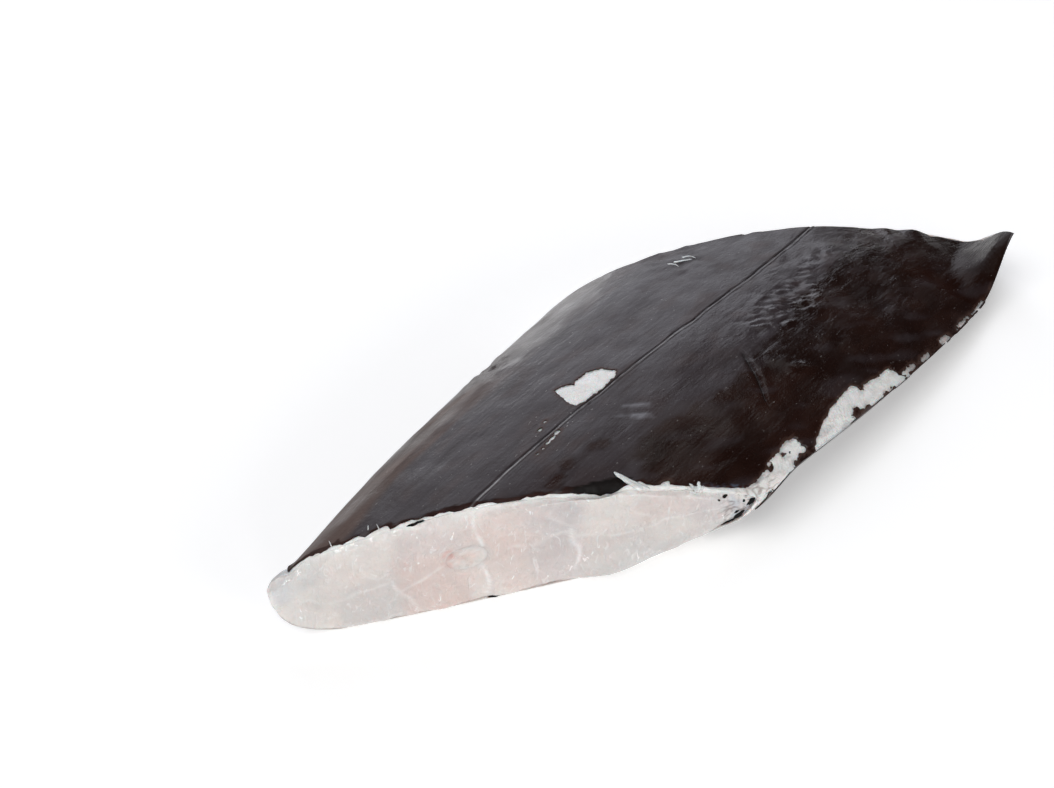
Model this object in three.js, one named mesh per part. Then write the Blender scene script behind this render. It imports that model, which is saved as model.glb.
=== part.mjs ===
// Black scabbardfish steak: a length of the body taken out by two slanting, nearly parallel cuts.
// It lies on one flank. X runs along the body from the near cut to the far cut, +Y is the back,
// Z is up, all in millimetres, with the origin under the middle of the steak.
import * as THREE from 'three';

const { clamp, lerp, smoothstep } = THREE.MathUtils;

// body
const DEPTH = 85;             // back edge to belly edge, at DEPTH_AT along the body
const DEPTH_AT = 100;
const DEPTH_GAIN = 0.203;     // share of DEPTH gained per 100 mm along the body
const THICKNESS = 36;         // flank to flank, where the body is thickest
const THICKEST_AT = 84;
const THINNING = 0.245;       // share of the thickness lost 100 mm from the thickest place
const CREST = 0.4;            // share of the depth, from the back, where the flank stands highest
const BONE_SHARE = 0.47;      // share of the depth, from the back, where the backbone lies
const BACK_POWER = 2.9;       // roundness of the back
const BELLY_POWER = 1.86;     // fall of the upper flank towards the belly
const BELLY_ROUND = 1.19;
const UNDER_POWER = 4.8;      // the flank lain upon is squarer
const BELLY_DROP = 0.134;     // how far the belly edge lies under half height
const FLATTEN = 1;            // flattening of the underside by the steak's own weight
const BEND = 1.8;             // sideways bend of the body axis
const SKEW = 3.1;

// cuts
const LENGTH = 134;           // along the back, from cut to cut
const NEAR_SLANT = 1.28;      // run along the body per mm of depth
const FAR_SLANT = 1.57;
const NEAR_LEAN = 0.1;        // run along the body per mm of height
const FAR_LEAN = -0.25;
const NEAR_BOW = -10.8;       // hollow of the near cut, swell of the far one
const FAR_BOW = 29.4;
const TIP_LIFT = 14;          // the far belly corner curls up
const TIP_TRIM = 5;

// flesh and backbone
const BONE_RADIUS = 3.8;
const BONE_GAP = 0.3;
const BONE_DISH = 0.5;        // hollow of the vertebra's end
const MUSCLE_BULGE = 1.1;     // the muscle blocks swell out of the cut between the septa
const SEPTUM_WIDTH = 4.5;
const LINE_DEPTH = 0.5;       // lateral line groove
const LINE_WIDTH = 1.4;

// centre of the steak's footprint along the body and across it
const CENTRE_X = 131.64;
const CENTRE_Y = -3.3;

// facets
const COLUMNS = 80;
const BONE_COLUMNS = 32;
const FACE_RINGS = 10;
const SIDE_RINGS = 34;
const BONE_RINGS = 12;
const COLUMN_PINCH = 0.3;     // columns crowd together at the lateral line

// Half thickness of a flank as a share, at share s of the depth from the back.
function flank(s, bellyPower) {
  if (s < CREST) {
    return (1 - (1 - s / CREST) ** BACK_POWER) ** (1 / BACK_POWER);
  }
  return Math.max(0, 1 - ((s - CREST) / (1 - CREST)) ** bellyPower) ** (1 / BELLY_ROUND);
}

// Place along the body, depth and thickness there; t runs 0..1 from cut to cut.
function slice(s, t) {
  const bow = 4 * s * (1 - s);
  const near = NEAR_SLANT * DEPTH * s + NEAR_BOW * bow;
  const trim = TIP_TRIM * smoothstep(s, 0.84, 1);
  const far = LENGTH + FAR_SLANT * DEPTH * s + FAR_BOW * bow - trim;
  const at = lerp(near, far, t);
  return {
    at,
    depth: DEPTH * (1 + DEPTH_GAIN * (at - DEPTH_AT) / 100),
    thickness: THICKNESS * (1 - THINNING * ((at - THICKEST_AT) / 100) ** 2),
  };
}

function place(cut, t, across, z) {
  const along = (cut.at - DEPTH_AT) / 100;
  const lean = lerp(NEAR_LEAN, FAR_LEAN, t);
  return new THREE.Vector3(
    cut.at + lean * (z - cut.thickness / 2),
    across + BEND * along ** 2 + SKEW * along ** 3,
    z,
  );
}

// Heights of the upper and the lower flank, before the far belly corner curls up.
function heights(s, t) {
  const half = slice(s, t).thickness / 2;
  const u = clamp((s - CREST) / (1 - CREST), 0, 1);
  const middle = half * (1 - BELLY_DROP * u ** 3) - FLATTEN;
  const upper = middle + half * flank(s, BELLY_POWER);
  const lower = Math.max(0, middle - half * flank(s, UNDER_POWER));
  return { upper, lower, mean: (upper + lower) / 2 };
}

// Section of the body; turn runs round it from the back (0) over the upper flank to the belly (pi).
function outline(turn, t) {
  const s = (1 - Math.cos(turn)) / 2;
  const { upper, lower } = heights(s, t);
  const across = slice(s, t).depth * (BONE_SHARE - s);
  const groove = LINE_DEPTH * Math.exp(-((across / LINE_WIDTH) ** 2));
  return { s, across, z: Math.sin(turn) < 0 ? lower : upper - groove };
}

// Section of a round rod along the backbone.
function rod(turn, t, radius) {
  const across = radius * Math.cos(turn);
  const s = BONE_SHARE - across / DEPTH;
  return { s, across, z: slice(s, t).thickness / 2 - FLATTEN + radius * Math.sin(turn) };
}

// Flesh between the rod (k = 0) and the body's surface (k = 1), with the swell of the cut faces and
// the curl of the far belly corner.
function fleshPoint(k, turn, t) {
  const inner = rod(turn, t, BONE_RADIUS + BONE_GAP);
  const outer = outline(turn, t);
  const s = lerp(inner.s, outer.s, k);
  const across = lerp(inner.across, outer.across, k);
  const above = lerp(inner.z - heights(inner.s, t).mean, outer.z - heights(outer.s, t).mean, k);
  const lift = TIP_LIFT * smoothstep(s, 0.84, 1) * smoothstep(t, 0.8, 1);
  const point = place(slice(s, t), t, across, heights(s, t).mean + above + lift);
  const median = 1 - Math.exp(-((above / SEPTUM_WIDTH) ** 2));
  const level = 1 - Math.exp(-((across / SEPTUM_WIDTH) ** 2));
  const swell = MUSCLE_BULGE * median * level * (1 - k ** 6) * smoothstep(k, 0, 0.2);
  point.x += swell * (t === 1 ? 1 : t === 0 ? -1 : 0);
  return point;
}

function bonePoint(k, turn, t) {
  const inner = rod(turn, t, BONE_RADIUS * k);
  const point = place(slice(inner.s, t), t, inner.across, inner.z);
  const dish = BONE_DISH * (1 - k ** 2);
  point.x += dish * (t === 0 ? 1 : t === 1 ? -1 : 0);
  return point;
}

// Turned drum: rings over the near face, the side, the far face and, if hollow, back down the bore.
function drum(hollow, columns, faceRings, sideRings) {
  const core = hollow ? 1 : 0;
  const profile = [];
  for (let i = 0; i < faceRings; i += 1) {
    profile.push(new THREE.Vector2(core + i / faceRings, 0));
  }
  for (let i = 0; i <= sideRings; i += 1) {
    profile.push(new THREE.Vector2(core + 1, i / sideRings));
  }
  for (let i = faceRings - 1; i >= 0; i -= 1) {
    profile.push(new THREE.Vector2(core + i / faceRings, 1));
  }
  if (hollow) {
    for (let i = BONE_RINGS - 1; i >= 0; i -= 1) {
      profile.push(new THREE.Vector2(core, i / BONE_RINGS));
    }
  }
  return new THREE.LatheGeometry(profile, columns);
}

// Every point of a drum is carried to its place on the steak.
function shaped(geometry, core, toPlace) {
  const position = geometry.getAttribute('position');
  const from = new THREE.Vector3();
  for (let i = 0; i < position.count; i += 1) {
    from.fromBufferAttribute(position, i);
    const k = Math.hypot(from.x, from.z) - core;
    const angle = Math.atan2(from.x, from.z);
    const turn = angle + COLUMN_PINCH * Math.sin(2 * angle) * core;
    const to = toPlace(k, turn, from.y);
    position.setXYZ(i, to.x - CENTRE_X, to.y - CENTRE_Y, to.z);
  }
  geometry.computeVertexNormals();
  return geometry;
}

const fleshMaterial = new THREE.MeshStandardMaterial({ color: '#ddd3ce', roughness: 0.35, metalness: 0 });
const boneMaterial = new THREE.MeshStandardMaterial({ color: '#e6cfc6', roughness: 0.4, metalness: 0 });

const fleshDrum = drum(true, COLUMNS, FACE_RINGS, SIDE_RINGS);
const flesh = new THREE.Mesh(shaped(fleshDrum, 1, fleshPoint), fleshMaterial);
flesh.name = 'flesh';

const boneDrum = drum(false, BONE_COLUMNS, 2, BONE_RINGS);
const backbone = new THREE.Mesh(shaped(boneDrum, 0, bonePoint), boneMaterial);
backbone.name = 'backbone';

const steak = new THREE.Group();
steak.name = 'black_scabbardfish_steak';
steak.add(flesh, backbone);

export default steak;
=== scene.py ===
"""Black scabbardfish steak: wet pale flesh, torn black skin, backbone and the tatters along its edges."""
import math

import bmesh
import bpy
import numpy as np
from mathutils import Matrix, Vector, noise


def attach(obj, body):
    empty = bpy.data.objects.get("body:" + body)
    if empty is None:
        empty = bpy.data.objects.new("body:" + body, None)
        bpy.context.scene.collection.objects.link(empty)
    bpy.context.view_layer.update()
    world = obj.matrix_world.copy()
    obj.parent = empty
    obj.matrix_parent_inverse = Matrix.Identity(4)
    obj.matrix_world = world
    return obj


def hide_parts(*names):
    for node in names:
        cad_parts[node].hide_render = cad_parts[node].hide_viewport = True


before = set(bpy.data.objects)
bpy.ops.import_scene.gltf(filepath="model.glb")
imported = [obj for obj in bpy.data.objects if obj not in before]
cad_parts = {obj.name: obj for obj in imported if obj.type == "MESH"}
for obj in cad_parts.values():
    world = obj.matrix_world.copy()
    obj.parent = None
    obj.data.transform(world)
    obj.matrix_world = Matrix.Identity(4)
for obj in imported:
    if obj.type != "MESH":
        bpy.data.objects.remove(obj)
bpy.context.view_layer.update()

MM = 0.001
FULL_TURN = 2 * math.pi

# body of the fish, as the solids have it; lengths are in millimetres up to the stage
DEPTH, DEPTH_AT, DEPTH_GAIN = 85, 100, 0.203
THICKNESS, THICKEST_AT, THINNING = 36, 84, 0.245
CREST, BONE_SHARE = 0.4, 0.47
BACK_POWER, BELLY_POWER, BELLY_ROUND, UNDER_POWER = 2.9, 1.86, 1.19, 4.8
BELLY_DROP, FLATTEN, BEND, SKEW = 0.134, 1, 1.8, 3.1
LENGTH, NEAR_SLANT, FAR_SLANT = 134, 1.28, 1.57
NEAR_LEAN, FAR_LEAN, NEAR_BOW, FAR_BOW = 0.1, -0.25, -10.8, 29.4
TIP_LIFT, TIP_TRIM = 14, 5
TIP_ACROSS, TIP_ALONG = 0.84, 0.8  # where the far belly corner starts to curl up
CENTRE_X, CENTRE_Y = 131.64, -3.3
BONE_RADIUS = 3.8
MUSCLE_BULGE, SEPTUM_WIDTH = 1.1, 4.5

# finish
SKIN = 0.28  # thickness of the skin
BED = 0.06  # slack between the skin and the flesh
BONE_LAP = 0.25  # how far the flesh laps over the backbone
ACROSS_CUT = 0.62  # distance from a cut per mm along the body
LINE_TURN = math.acos(1 - 2 * BONE_SHARE)  # where the lateral line runs round the body
SHARP = math.radians(58)
NOISE_REACH = 1.6


def ease(v, low, high):
    k = np.clip((v - low) / (high - low), 0, 1)
    return k * k * (3 - 2 * k)


def hump(v, centre, width):
    return np.exp(-(((v - centre) / width) ** 2))


def oval(x, y, patch):
    """1 in the middle of a patch, fading outwards."""
    along, across, long, wide = patch
    return hump(x, along, long) * hump(y, across, wide)


def ripple(points, size, seed=0):
    """Smooth random swell, about -1 to 1, with lumps of the given size in millimetres."""
    spots = points / np.asarray(size, float) + seed
    return np.array([noise.noise(spot) for spot in spots.tolist()]) * NOISE_REACH


def along_way(points, way):
    """Points in axes turned about Z; way is the cosine and sine of the turn."""
    cosine, sine = way
    return points @ np.array([[cosine, sine, 0], [-sine, cosine, 0], [0, 0, 1]])


def flank(s, belly_power):
    back = np.maximum(0, 1 - np.maximum(0, 1 - s / CREST) ** BACK_POWER) ** (1 / BACK_POWER)
    u = np.clip((s - CREST) / (1 - CREST), 0, 1)
    return np.where(s < CREST, back, np.maximum(0, 1 - u ** belly_power) ** (1 / BELLY_ROUND))


def slice_at(s, t):
    """Place along the body, depth and thickness at share s of the depth, t from cut to cut."""
    bow = 4 * s * (1 - s)
    near = NEAR_SLANT * DEPTH * s + NEAR_BOW * bow
    far = LENGTH + FAR_SLANT * DEPTH * s + FAR_BOW * bow - TIP_TRIM * ease(s, TIP_ACROSS, 1)
    at = near + t * (far - near)
    depth = DEPTH * (1 + DEPTH_GAIN * (at - DEPTH_AT) / 100)
    return at, depth, THICKNESS * (1 - THINNING * ((at - THICKEST_AT) / 100) ** 2)


def cut_to_cut(s):
    """Length of the body between the cuts, at share s of the depth."""
    return slice_at(s, np.ones_like(s))[0] - slice_at(s, np.zeros_like(s))[0]


def place(s, t, across, z):
    at, _, thickness = slice_at(s, t)
    along = (at - DEPTH_AT) / 100
    lean = NEAR_LEAN + t * (FAR_LEAN - NEAR_LEAN)
    x = at + lean * (z - thickness / 2) - CENTRE_X
    y = across + BEND * along**2 + SKEW * along**3 - CENTRE_Y
    return np.stack([x, y, z], -1)


def heights(s, t):
    """Heights of the upper and the lower flank, before the far belly corner curls up."""
    half = slice_at(s, t)[2] / 2
    u = np.clip((s - CREST) / (1 - CREST), 0, 1)
    middle = half * (1 - BELLY_DROP * u**3) - FLATTEN
    return middle + half * flank(s, BELLY_POWER), np.maximum(0, middle - half * flank(s, UNDER_POWER))


def thickness_at(s, t):
    upper, lower = heights(s, t)
    return upper - lower


def lift(s, t):
    return TIP_LIFT * ease(s, TIP_ACROSS, 1) * ease(t, TIP_ALONG, 1)


def share(turn):
    return (1 - np.cos(turn)) / 2


def outline(turn, t):
    """Surface of the body: turn 0 is the back, half a turn over the upper flank is the belly."""
    s = share(turn)
    upper, lower = heights(s, t)
    z = np.where(np.sin(turn) >= 0, upper, lower) + lift(s, t)
    return place(s, t, slice_at(s, t)[1] * (BONE_SHARE - s), z)


def outward(turn, t):
    step = 2e-3
    around = outline(turn + step, t) - outline(turn - step, t)
    along = outline(turn, t + step) - outline(turn, t - step)
    way = np.cross(around, along)
    return way / np.linalg.norm(way, axis=-1, keepdims=True)


def out_of_cut(s, t):
    """Way straight out of the near (t = 0) or the far (t = 1) cut."""
    step = 0.01
    before, after = (
        place(v, t, slice_at(v, t)[1] * (BONE_SHARE - v), slice_at(v, t)[2] / 2) for v in (s - step, s + step)
    )
    run = after - before
    sign = np.where(t > 0.5, 1, -1)
    lean = np.where(t > 0.5, FAR_LEAN, NEAR_LEAN)
    way = np.stack([-run[:, 1], run[:, 0], lean * run[:, 1]], -1) * sign[:, None]
    return way / np.linalg.norm(way, axis=-1, keepdims=True)


def rod(turn, t, radius):
    """A round rod along the backbone: share of the depth, way across and height."""
    across = radius * np.cos(turn)
    s = BONE_SHARE - across / DEPTH
    return s, across, slice_at(s, t)[2] / 2 - FLATTEN + radius * np.sin(turn)


def inside(k, turn, t):
    """Points from the backbone (k = 0) to the surface (k = 1), with their shares of depth and height."""
    core_s, core_across, core_z = rod(turn, t, BONE_RADIUS - BONE_LAP)
    wall_s = share(turn)
    upper, lower = heights(wall_s, t)
    core_mean = sum(heights(core_s, t)) / 2
    wall_above = np.where(np.sin(turn) >= 0, upper, lower) - (upper + lower) / 2
    s = core_s + k * (wall_s - core_s)
    across = core_across + k * (slice_at(wall_s, t)[1] * (BONE_SHARE - wall_s) - core_across)
    above = core_z - core_mean + k * (wall_above - core_z + core_mean)
    top, low = heights(s, t)
    z = (top + low) / 2 + above
    points = place(s, t, across, z + lift(s, t))
    return points, s, np.clip((z - low) / np.maximum(top - low, 0.5), 0, 1)


def turned(profile, columns, closed=False):
    """A drum turned from a profile of (radius, height) round Z."""
    bm = bmesh.new()
    edge = [bm.verts.new((radius, 0, height)) for radius, height in profile]
    for a, b in zip(edge, edge[1:] + edge[:1] if closed else edge[1:]):
        bm.edges.new((a, b))
    bmesh.ops.spin(
        bm, geom=bm.verts[:] + bm.edges[:], cent=(0, 0, 0), axis=(0, 0, 1),
        angle=FULL_TURN, steps=columns, use_merge=True,
    )
    bmesh.ops.remove_doubles(bm, verts=bm.verts, dist=1e-6)
    return bm


def crowded(shares, crowding, span):
    """Spreads even shares over a span, closer together where crowding is greater."""
    fine = np.linspace(0, span, 4000)
    passed = np.concatenate([[0], np.cumsum(crowding((fine[1:] + fine[:-1]) / 2))])
    return np.interp(shares, passed / passed[-1], fine)


def drum_places(bm, crowding):
    """Radius, turn and height of every vertex of a drum; crowding says where its columns stand closer."""
    spots = np.array([v.co for v in bm.verts])
    angle = np.mod(np.arctan2(spots[:, 1], spots[:, 0]), FULL_TURN)
    turn = crowded(angle / FULL_TURN, crowding, FULL_TURN)
    t = np.where(spots[:, 2] < 1e-5, 0, np.where(spots[:, 2] > 1 - 1e-5, 1, spots[:, 2]))
    return np.hypot(spots[:, 0], spots[:, 1]), turn, t


def spaced(count, crowding):
    return crowded(np.linspace(0, 1, count + 1), crowding, 1).tolist()


def set_places(bm, points):
    for vert, point in zip(bm.verts, (points * MM).tolist()):
        vert.co = point


def face_out(bm):
    """Turns the faces of closed shapes outwards."""
    bmesh.ops.recalc_face_normals(bm, faces=bm.faces)
    if bm.calc_volume(signed=True) < 0:
        bmesh.ops.reverse_faces(bm, faces=bm.faces)


def painted(bm, **layers):
    for name, values in layers.items():
        layer = bm.verts.layers.float_color.new(name)
        for vert, value in zip(bm.verts, np.clip(values, 0, 1).tolist()):
            vert[layer] = value


def piece(name, bm, *materials):
    mesh = bpy.data.meshes.new(name)
    bm.to_mesh(mesh)
    bm.free()
    for material in materials:
        mesh.materials.append(material)
    mesh.shade_smooth()
    mesh.set_sharp_from_angle(angle=SHARP)
    made = bpy.data.objects.new(name, mesh)
    bpy.context.scene.collection.objects.link(made)
    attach(made, "root")
    return made


# Materials

# colours as linear red, green and blue
FLESH_CLEAR, FLESH_PALE, FLESH_PINK = (0.54, 0.52, 0.515), (0.7, 0.665, 0.645), (0.81, 0.66, 0.61)
# the dash white is painted glints; the flake white is partly the flesh's own white and partly painted glints
FLAKE_AND_GLINT_WHITE, GLINT_WHITE, SEAM_WHITE = (0.9, 0.89, 0.88), (0.95, 0.94, 0.93), (0.92, 0.9, 0.88)
FILM_DULL, FILM_WHITE = (0.85, 0.825, 0.8), (0.94, 0.925, 0.905)
BLOOD = (0.62, 0.17, 0.12)
SKIN_BLACK, SKIN_DARK = (0.011, 0.0036, 0.0024), (0.021, 0.0078, 0.0054)
# the first skin colour on the next line is painted sheen, a reflection laid into the colour
SKIN_PAINTED_SHEEN, SKIN_BROWN, SKIN_DUST = (0.043, 0.034, 0.038), (0.088, 0.046, 0.034), (0.42, 0.4, 0.39)
EDGE_BROWN, EDGE_BLACK = (0.034, 0.006, 0.003), (0.008, 0.0025, 0.002)
BONE_DULL, BONE_PALE = (0.71, 0.63, 0.595), (0.78, 0.71, 0.68)
BONE_RING, BONE_CORE = (0.85, 0.8, 0.77), (0.78, 0.62, 0.56)
FLOOR_WHITE = (0.93, 0.93, 0.93)


class Finish:
    """A material and short ways to add its nodes."""

    def __init__(self, name):
        self.material = bpy.data.materials.new(name)
        self.material.use_nodes = True
        self.nodes = self.material.node_tree.nodes
        self.shader = self.nodes["Principled BSDF"]
        self.object = self.add("ShaderNodeTexCoord").outputs["Object"]

    def add(self, kind, inputs=None, **settings):
        node = self.nodes.new(kind)
        for name, value in settings.items():
            setattr(node, name, value)
        for name, value in (inputs or {}).items():
            self.put(node.inputs[name], value)
        return node

    def put(self, socket, value):
        if isinstance(value, bpy.types.NodeSocket):
            self.material.node_tree.links.new(value, socket)
        elif socket.type == "RGBA":
            socket.default_value = (*value, 1)
        else:
            socket.default_value = value

    def set(self, **inputs):
        for name, value in inputs.items():
            self.put(self.shader.inputs[name.replace("_", " ")], value)

    def grain(self, scale, detail=3, stretch=(1, 1, 1), turn=(0, 0, 0), distortion=0):
        spot = self.add("ShaderNodeMapping", {"Vector": self.object, "Scale": stretch, "Rotation": turn})
        inputs = {"Vector": spot.outputs[0], "Scale": scale, "Detail": detail}
        inputs |= {"Roughness": 0.55, "Distortion": distortion}
        return self.add("ShaderNodeTexNoise", inputs).outputs["Fac"]

    def ramp(self, value, low, high, bottom=0, top=1):
        inputs = {"Value": value, "From Min": low, "From Max": high, "To Min": bottom, "To Max": top}
        return self.add("ShaderNodeMapRange", inputs, interpolation_type="SMOOTHSTEP").outputs[0]

    def math(self, kind, a, b):
        return self.add("ShaderNodeMath", {0: a, 1: b}, operation=kind).outputs[0]

    def blend(self, mix, a, b):
        node = self.add("ShaderNodeMix", data_type="RGBA")
        for socket, value in zip((node.inputs[0], node.inputs[6], node.inputs[7]), (mix, a, b)):
            self.put(socket, value)
        return node.outputs[2]

    def layers(self):
        """The four tint layers painted on the piece."""
        tint = self.add("ShaderNodeAttribute", attribute_name="tint")
        split = self.add("ShaderNodeSeparateColor", {"Color": tint.outputs["Color"]})
        return (*split.outputs, tint.outputs["Alpha"])

    def covered(self, tone, layer):
        """A colour layer painted on the piece, laid over a tone."""
        paint = self.add("ShaderNodeAttribute", attribute_name=layer)
        return self.blend(paint.outputs["Alpha"], tone, paint.outputs["Color"])

    def bump(self, height, distance, strength=1, below=None):
        inputs = {"Height": height, "Distance": distance, "Strength": strength}
        if below is not None:
            inputs["Normal"] = below
        return self.add("ShaderNodeBump", inputs).outputs[0]


def flesh_finish():
    wet = Finish("wet_flesh")
    septa, pink, film_and_sheen, blood = wet.layers()
    cloud = wet.grain(75, 5, distortion=0.8)
    mottle = wet.grain(260, 4, stretch=(1, 1, 1.4))
    flakes = wet.grain(420, 3, stretch=(1, 1, 0.45), turn=(0.3, 0, 0), distortion=2)
    streaks = wet.grain(620, 2, stretch=(1, 1, 0.4), turn=(0.5, 0, 0), distortion=1)
    tone = wet.blend(wet.ramp(cloud, 0.32, 0.68), FLESH_CLEAR, FLESH_PALE)
    tone = wet.covered(tone, "muscle")
    flush = wet.math("MULTIPLY", pink, wet.ramp(mottle, 0.2, 0.75, 0.4, 0.8))
    tone = wet.blend(flush, tone, FLESH_PINK)
    # whitish flakes, partly the flesh's own white and partly painted glints
    tone = wet.blend(wet.ramp(flakes, 0.58, 0.72, 0, 0.45), tone, FLAKE_AND_GLINT_WHITE)
    # painted glints: short white dashes standing in for wet highlights
    painted_glints = wet.math("MULTIPLY", wet.ramp(streaks, 0.67, 0.71), wet.ramp(cloud, 0.48, 0.6))
    tone = wet.blend(painted_glints, tone, GLINT_WHITE)
    tone = wet.blend(septa, tone, SEAM_WHITE)
    tone = wet.blend(film_and_sheen, tone, wet.blend(wet.ramp(mottle, 0.3, 0.7), FILM_DULL, FILM_WHITE))
    tone = wet.covered(wet.blend(blood, tone, BLOOD), "stain")
    gloss = wet.ramp(wet.grain(180, 3), 0.3, 0.7, 0.18, 0.4)
    fibre = wet.grain(1100, 3, stretch=(1, 1, 0.5))
    lumps = wet.bump(wet.grain(300, 4), 0.0012, 0.6)
    lumps = wet.bump(flakes, 0.0009, 0.5, lumps)
    wet.set(Base_Color=tone, Roughness=gloss, Normal=wet.bump(fibre, 0.00025, 0.5, lumps))
    wet.set(Subsurface_Weight=0.35, Subsurface_Scale=0.003, Subsurface_Radius=(1, 0.5, 0.4))
    wet.set(Coat_Weight=0.8, Coat_Roughness=0.07, IOR=1.4)
    return wet.material


def skin_finish(name, shine, coat):
    skin = Finish(name)
    brown, rough, fleck, film_and_sheen = skin.layers()
    cloud = skin.grain(60, 4, stretch=(0.5, 1, 1))
    streak = skin.grain(420, 4, stretch=(0.12, 1, 1))
    hair = skin.grain(1300, 3, stretch=(0.05, 1, 1))
    specks = skin.grain(1500, 2, stretch=(0.5, 1, 1))
    pores = skin.grain(1500, 3, stretch=(0.6, 1, 1))
    tone = skin.blend(skin.ramp(cloud, 0.4, 0.7), SKIN_BLACK, SKIN_DARK)
    # painted sheen: a grey-violet colour laid where the skin is rougher, standing in for part of the
    # reflection of the light behind
    painted_sheen = skin.math("MULTIPLY", film_and_sheen, skin.ramp(streak, 0.25, 0.7, 0.5, 1))
    tone = skin.blend(painted_sheen, tone, SKIN_PAINTED_SHEEN)
    warm = skin.math("MULTIPLY", brown, skin.ramp(streak, 0.3, 0.65, 0.5, 1))
    tone = skin.blend(warm, tone, SKIN_BROWN)
    dust = skin.math("MULTIPLY", fleck, skin.ramp(specks, 0.7, 0.74))
    tone = skin.covered(skin.blend(dust, tone, SKIN_DUST), "stain")
    gloss = skin.ramp(skin.grain(200, 5, stretch=(0.45, 1, 1)), 0.3, 0.7, 0.13, 0.28)
    gloss = skin.math("ADD", gloss, skin.math("MULTIPLY", rough, 0.5))
    gloss = skin.math("ADD", gloss, skin.math("MULTIPLY", brown, 0.4))
    drawn = skin.bump(streak, 0.0006, 0.35)
    drawn = skin.bump(hair, 0.0002, 0.35, drawn)
    lumps = skin.bump(skin.grain(330, 4, stretch=(0.5, 1, 1)), 0.0006, 0.45, drawn)
    skin.set(Base_Color=tone, Roughness=gloss, Normal=skin.bump(pores, 0.00016, 0.5, lumps))
    skin.set(Coat_Weight=coat, Coat_Roughness=0.15, IOR=1.36, Specular_IOR_Level=shine)
    return skin.material


def edge_finish():
    raw = Finish("skin_edge")
    cloud = raw.grain(330, 4)
    tone = raw.blend(raw.ramp(cloud, 0.35, 0.65), EDGE_BROWN, EDGE_BLACK)
    raw.set(Base_Color=raw.covered(tone, "stain"), Roughness=raw.ramp(cloud, 0.3, 0.7, 0.45, 0.8))
    raw.set(Normal=raw.bump(raw.grain(900, 3), 0.0003, 0.5), Specular_IOR_Level=0.2)
    return raw.material


def bone_finish():
    bone = Finish("backbone_gristle")
    ring, core, _, blood = bone.layers()
    cloud = bone.grain(500, 4)
    tone = bone.blend(bone.ramp(cloud, 0.3, 0.7), BONE_DULL, BONE_PALE)
    tone = bone.blend(ring, tone, BONE_RING)
    tone = bone.blend(core, tone, BONE_CORE)
    tone = bone.blend(blood, tone, BLOOD)
    bone.set(Base_Color=tone, Roughness=bone.ramp(cloud, 0.3, 0.7, 0.24, 0.44))
    bone.set(Normal=bone.bump(bone.grain(900, 3), 0.0004, 0.5))
    bone.set(Subsurface_Weight=0.4, Subsurface_Scale=0.003, Subsurface_Radius=(1, 0.55, 0.45))
    bone.set(Coat_Weight=0.35, Coat_Roughness=0.12)
    return bone.material


# Flesh

# seams between the muscle blocks on a cut: strength, then points as (share from the back, share of height)
SEAMS = (
    (1, (0.476, 1), (0.487, 0.78), (0.494, 0.6)),
    (1, (0.503, 0.42), (0.514, 0.27), (0.53, 0)),
    (0.8, (0.676, 0.58), (0.684, 0.4), (0.7, 0)),
    (0.7, (0.3, 0.42), (0.33, 0.25), (0.385, 0)),
    (0.45, (0.43, 0.46), (0.36, 0.38), (0.29, 0.22)),
    (0.35, (0.56, 0.49), (0.66, 0.56), (0.74, 0.5), (0.84, 0.54), (0.93, 0.6)),
    (0.3, (0.05, 0.42), (0.16, 0.36), (0.3, 0.43)),
    (0.3, (0.22, 0.98), (0.2, 0.75), (0.25, 0.55), (0.3, 0.43)),
    (0.3, (0.66, 1), (0.63, 0.8), (0.68, 0.6)),
    (0.35, (0.8, 0.95), (0.79, 0.75), (0.83, 0.54)),
    (0.3, (0.78, 0), (0.8, 0.3), (0.79, 0.5)),
)
SEAM_RUN, SEAM_RISE = 138, 33  # length and height of a cut
SEAM_WIDTH, SEAM_HOLLOW, SEAM_DEPTH, SEAM_WAVER = 0.5, 1.8, 0.55, 1.1
# tones of the muscle blocks, then the middles of the blocks in the same shares, each with its tone
CHALK, LILAC, BLUSH = (0.78, 0.745, 0.71), (0.6, 0.555, 0.555), (0.69, 0.6, 0.57)
ROSE, CLEAR = (0.65, 0.515, 0.48), (0.615, 0.61, 0.6)
BLOCKS = (
    (0.03, 0.77, CLEAR), (0.1, 0.27, CHALK), (0.21, 0.8, CHALK), (0.255, 0.22, CLEAR),
    (0.4, 0.78, LILAC), (0.39, 0.39, ROSE), (0.445, 0.18, ROSE), (0.524, 0.18, CHALK),
    (0.536, 0.75, BLUSH), (0.54, 0.52, ROSE), (0.57, 0.25, BLUSH), (0.625, 0.8, LILAC),
    (0.63, 0.33, LILAC), (0.755, 0.78, CHALK), (0.78, 0.32, CLEAR), (0.84, 0.72, BLUSH),
    (0.86, 0.46, CHALK), (0.92, 0.6, LILAC), (0.875, 0.15, CLEAR),
)
BLOCK_SOFTNESS, BLOCK_COVER = 1.3, 0.65
# nub of flesh at the back of the near cut and thick belly wall at its other end: turn, swell
NUB = ((-0.3, 0), (-0.1, 1), (0.03, 3), (0.08, 3.5), (0.2, 3.1), (0.29, 2.2), (0.335, 0))
NUB_WAY = (-0.607, 0.794, 0)
BELLY_WALL = (
    (2.95, 0), (3.1, 0.5), (3.25, 1.6), (3.4, 2.6), (3.5, 2.9), (3.62, 1.5), (3.8, 0.2), (3.95, 0),
)
BELLY_WALL_WAY = (0.35, -0.45, -0.82)
NEAR_RINGS, FAR_RINGS, SIDE_RINGS, BORE_RINGS, FLESH_COLUMNS = 84, 36, 140, 8, 340


def path_distance(u, v, path):
    """Distance from a chain of straight lines."""
    best = np.full(len(u), np.inf)
    for (start_u, start_v), (end_u, end_v) in zip(path, path[1:]):
        du, dv = end_u - start_u, end_v - start_v
        k = np.clip(((u - start_u) * du + (v - start_v) * dv) / (du * du + dv * dv), 0, 1)
        best = np.minimum(best, np.hypot(u - start_u - k * du, v - start_v - k * dv))
    return best


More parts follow.
